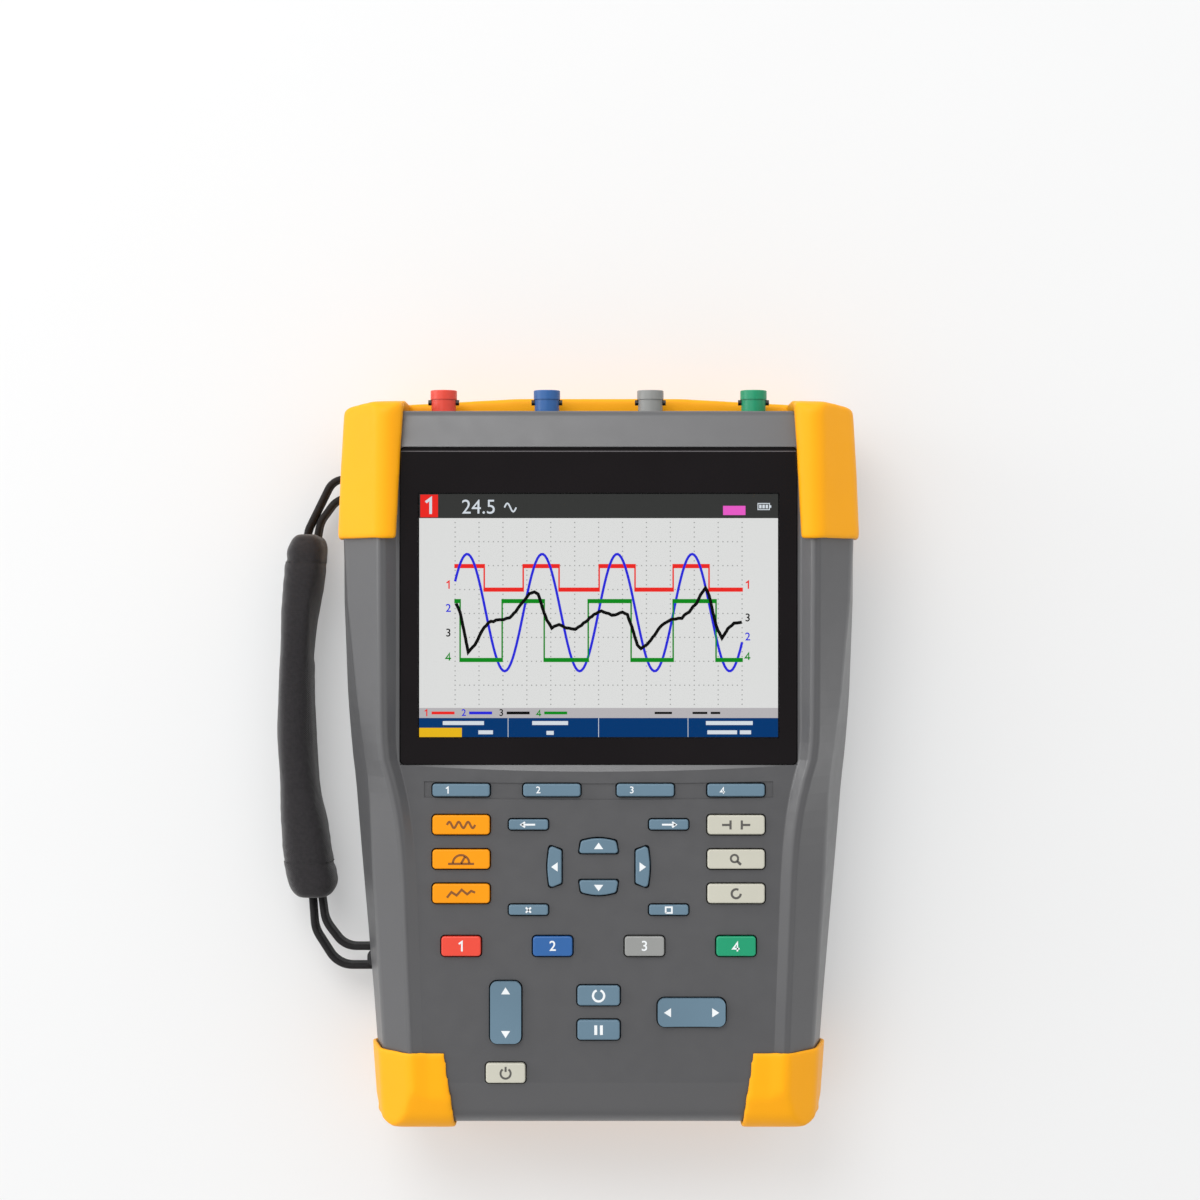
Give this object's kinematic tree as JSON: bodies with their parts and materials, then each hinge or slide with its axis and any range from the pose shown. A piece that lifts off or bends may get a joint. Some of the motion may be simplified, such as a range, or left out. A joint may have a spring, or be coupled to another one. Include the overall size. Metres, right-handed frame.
{
  "type": "handheld oscilloscope",
  "caption": "Rugged handheld bench oscilloscope with a recessed display, key field, coaxial inputs along the top end, rubber corner bumpers, side hand strap and fold-out stand.",
  "frame": {"origin": "centre of the rest land on the back of the case, in the middle of the case's width and length, on the surface that the instrument lies on", "axes": "+X to the right seen from the display, +Y towards the connector end, +Z out of the display"},
  "size_m": [0.2152, 0.265, 0.0697],
  "materials": {
    "case_grey": "fine moulded texture",
    "case_dark": "fine moulded texture",
    "bumper_yellow": "smooth satin rubber",
    "window_black": "polished black rim round a clear pane",
    "lcd_glass": "lit display face",
    "mat_navy": "matt silicone",
    "seal_black": "matt rubber",
    "key_blue_grey": "satin silicone",
    "key_orange": "satin silicone",
    "key_off_white": "satin silicone",
    "connector_red": "moulded",
    "connector_blue": "moulded",
    "connector_grey": "moulded",
    "connector_green": "moulded",
    "dark_metal": "dark plated",
    "steel": "machined",
    "aluminium_sheet": "pressed sheet",
    "tin_plate": "tinned sheet",
    "circuit_board": "solder resist",
    "battery_black": "moulded",
    "webbing_black": "woven tape",
    "pad_fabric": "padded sleeve with stitched ends"
  },
  "bodies": {
    "root": {"front_case": "case_grey", "rear_case": "case_dark", "case_gasket": "seal_black", "top_bumper": "bumper_yellow", "bottom_bumper": "bumper_yellow", "case_screws": "steel", "rubber_feet": "seal_black", "display_window": "window_black", "lcd_panel": "lcd_glass", "lcd_frame": "aluminium_sheet", "keypad_mat": "mat_navy", "keypad_board": "circuit_board", "bnc_shell_1": "connector_red", "bnc_shell_2": "connector_blue", "bnc_shell_3": "connector_grey", "bnc_shell_4": "connector_green", "bnc_metalwork": "dark_metal", "input_block": "aluminium_sheet", "main_board": "circuit_board", "shield_can": "tin_plate", "battery_pack": "battery_black", "battery_door": "case_dark", "door_screws": "steel", "port_cover_pin": "steel", "data_sockets": "tin_plate", "power_socket": "battery_black", "stand_pins": "steel", "strap_webbing_upper": "webbing_black", "strap_webbing_lower": "webbing_black", "strap_pad": "pad_fabric", "strap_lugs": "battery_black"},
    "key_soft_1": {"key_soft_1": "key_blue_grey"},
    "key_soft_2": {"key_soft_2": "key_blue_grey"},
    "key_soft_3": {"key_soft_3": "key_blue_grey"},
    "key_soft_4": {"key_soft_4": "key_blue_grey"},
    "key_scope": {"key_scope": "key_orange"},
    "key_meter": {"key_meter": "key_orange"},
    "key_recorder": {"key_recorder": "key_orange"},
    "key_cursor": {"key_cursor": "key_off_white"},
    "key_zoom": {"key_zoom": "key_off_white"},
    "key_replay": {"key_replay": "key_off_white"},
    "key_back": {"key_back": "key_blue_grey"},
    "key_enter": {"key_enter": "key_blue_grey"},
    "key_clear": {"key_clear": "key_blue_grey"},
    "key_save": {"key_save": "key_blue_grey"},
    "key_up": {"key_up": "key_blue_grey"},
    "key_down": {"key_down": "key_blue_grey"},
    "key_left": {"key_left": "key_blue_grey"},
    "key_right": {"key_right": "key_blue_grey"},
    "key_auto": {"key_auto": "key_blue_grey"},
    "key_hold": {"key_hold": "key_blue_grey"},
    "key_channel_1": {"key_channel_1": "connector_red"},
    "key_channel_2": {"key_channel_2": "connector_blue"},
    "key_channel_3": {"key_channel_3": "connector_grey"},
    "key_channel_4": {"key_channel_4": "connector_green"},
    "key_power": {"key_power": "key_off_white"},
    "rocker_range": {"rocker_range": "key_blue_grey"},
    "rocker_time": {"rocker_time": "key_blue_grey"},
    "tilt_stand": {"tilt_stand": "case_dark"},
    "port_cover": {"port_cover": "seal_black"}
  },
  "joints": [
    {"name": "key_soft_1_press", "type": "slide", "parent": "root", "child": "key_soft_1", "axis": [0, 0, -1], "range_m": [0, 0.001], "stiffness_N_per_m": 800},
    {"name": "key_soft_2_press", "type": "slide", "parent": "root", "child": "key_soft_2", "axis": [0, 0, -1], "range_m": [0, 0.001], "stiffness_N_per_m": 800},
    {"name": "key_soft_3_press", "type": "slide", "parent": "root", "child": "key_soft_3", "axis": [0, 0, -1], "range_m": [0, 0.001], "stiffness_N_per_m": 800},
    {"name": "key_soft_4_press", "type": "slide", "parent": "root", "child": "key_soft_4", "axis": [0, 0, -1], "range_m": [0, 0.001], "stiffness_N_per_m": 800},
    {"name": "key_scope_press", "type": "slide", "parent": "root", "child": "key_scope", "axis": [0, 0, -1], "range_m": [0, 0.001], "stiffness_N_per_m": 800},
    {"name": "key_meter_press", "type": "slide", "parent": "root", "child": "key_meter", "axis": [0, 0, -1], "range_m": [0, 0.001], "stiffness_N_per_m": 800},
    {"name": "key_recorder_press", "type": "slide", "parent": "root", "child": "key_recorder", "axis": [0, 0, -1], "range_m": [0, 0.001], "stiffness_N_per_m": 800},
    {"name": "key_cursor_press", "type": "slide", "parent": "root", "child": "key_cursor", "axis": [0, 0, -1], "range_m": [0, 0.001], "stiffness_N_per_m": 800},
    {"name": "key_zoom_press", "type": "slide", "parent": "root", "child": "key_zoom", "axis": [0, 0, -1], "range_m": [0, 0.001], "stiffness_N_per_m": 800},
    {"name": "key_replay_press", "type": "slide", "parent": "root", "child": "key_replay", "axis": [0, 0, -1], "range_m": [0, 0.001], "stiffness_N_per_m": 800},
    {"name": "key_back_press", "type": "slide", "parent": "root", "child": "key_back", "axis": [0, 0, -1], "range_m": [0, 0.001], "stiffness_N_per_m": 800},
    {"name": "key_enter_press", "type": "slide", "parent": "root", "child": "key_enter", "axis": [0, 0, -1], "range_m": [0, 0.001], "stiffness_N_per_m": 800},
    {"name": "key_clear_press", "type": "slide", "parent": "root", "child": "key_clear", "axis": [0, 0, -1], "range_m": [0, 0.001], "stiffness_N_per_m": 800},
    {"name": "key_save_press", "type": "slide", "parent": "root", "child": "key_save", "axis": [0, 0, -1], "range_m": [0, 0.001], "stiffness_N_per_m": 800},
    {"name": "key_up_press", "type": "slide", "parent": "root", "child": "key_up", "axis": [0, 0, -1], "range_m": [0, 0.001], "stiffness_N_per_m": 800},
    {"name": "key_down_press", "type": "slide", "parent": "root", "child": "key_down", "axis": [0, 0, -1], "range_m": [0, 0.001], "stiffness_N_per_m": 800},
    {"name": "key_left_press", "type": "slide", "parent": "root", "child": "key_left", "axis": [0, 0, -1], "range_m": [0, 0.001], "stiffness_N_per_m": 800},
    {"name": "key_right_press", "type": "slide", "parent": "root", "child": "key_right", "axis": [0, 0, -1], "range_m": [0, 0.001], "stiffness_N_per_m": 800},
    {"name": "key_auto_press", "type": "slide", "parent": "root", "child": "key_auto", "axis": [0, 0, -1], "range_m": [0, 0.001], "stiffness_N_per_m": 800},
    {"name": "key_hold_press", "type": "slide", "parent": "root", "child": "key_hold", "axis": [0, 0, -1], "range_m": [0, 0.001], "stiffness_N_per_m": 800},
    {"name": "key_channel_1_press", "type": "slide", "parent": "root", "child": "key_channel_1", "axis": [0, 0, -1], "range_m": [0, 0.001], "stiffness_N_per_m": 800},
    {"name": "key_channel_2_press", "type": "slide", "parent": "root", "child": "key_channel_2", "axis": [0, 0, -1], "range_m": [0, 0.001], "stiffness_N_per_m": 800},
    {"name": "key_channel_3_press", "type": "slide", "parent": "root", "child": "key_channel_3", "axis": [0, 0, -1], "range_m": [0, 0.001], "stiffness_N_per_m": 800},
    {"name": "key_channel_4_press", "type": "slide", "parent": "root", "child": "key_channel_4", "axis": [0, 0, -1], "range_m": [0, 0.001], "stiffness_N_per_m": 800},
    {"name": "key_power_press", "type": "slide", "parent": "root", "child": "key_power", "axis": [0, 0, -1], "range_m": [0, 0.001], "stiffness_N_per_m": 800},
    {"name": "rocker_range_tilt", "type": "hinge", "parent": "root", "child": "rocker_range", "pos_m": [-0.033, -0.09, 0.0585], "axis": [1, 0, 0], "range_deg": [-3.5, 3.5], "stiffness_Nm_per_rad": 0.5},
    {"name": "rocker_time_tilt", "type": "hinge", "parent": "root", "child": "rocker_time", "pos_m": [0.033, -0.09, 0.0585], "axis": [0, 1, 0], "range_deg": [-3.5, 3.5], "stiffness_Nm_per_rad": 0.5},
    {"name": "stand_hinge", "type": "hinge", "parent": "root", "child": "tilt_stand", "pos_m": [0, 0.093, 0.0059], "axis": [1, 0, 0], "range_deg": [0, 75]},
    {"name": "port_cover_hinge", "type": "hinge", "parent": "root", "child": "port_cover", "pos_m": [0.08217, 0.049, 0.0095], "axis": [0, 1, 0], "range_deg": [0, 65]}
  ]
}
